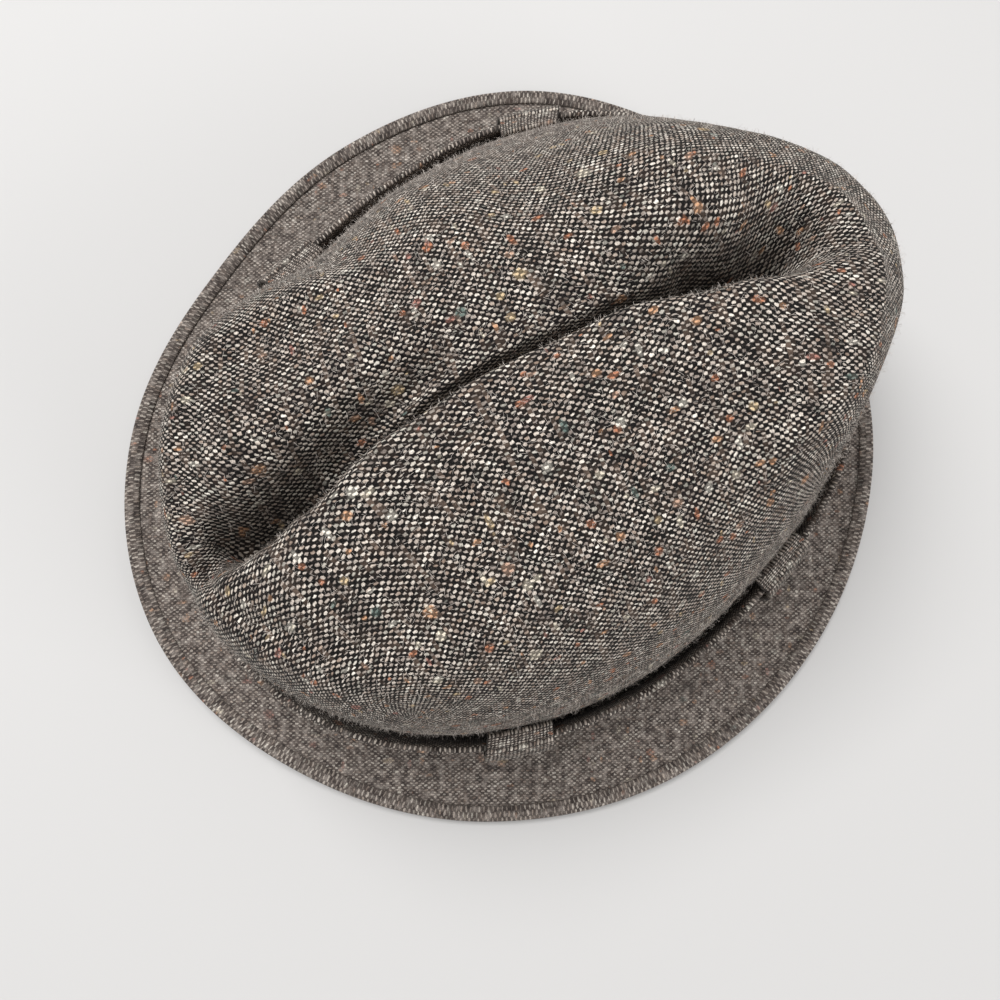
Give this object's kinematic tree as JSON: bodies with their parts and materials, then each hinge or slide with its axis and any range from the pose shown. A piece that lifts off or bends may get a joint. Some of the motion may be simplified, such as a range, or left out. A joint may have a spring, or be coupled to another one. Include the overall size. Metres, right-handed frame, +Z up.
{
  "type": "tweed trilby hat",
  "caption": "Soft tweed trilby hat with a lengthwise crease in the crown, a folded band held by fabric loops, and a short bound brim.",
  "frame": {"origin": "centre of the bounding box's bottom face, on the surface that the brim rests on", "axes": "+Z up through the crown, -Y towards the front of the hat, +X towards the wearer's left"},
  "size_m": [0.2414, 0.2558, 0.1081],
  "materials": {
    "tweed": "matte wool tweed",
    "tweed_trim": "matte wool tweed, folded"
  },
  "bodies": {
    "root": {"crown": "tweed", "brim": "tweed", "brim_binding": "tweed_trim", "hat_band": "tweed_trim", "band_loop_front_left": "tweed_trim", "band_loop_front_right": "tweed_trim", "band_loop_rear_left": "tweed_trim", "band_loop_rear_right": "tweed_trim"}
  },
  "joints": []
}
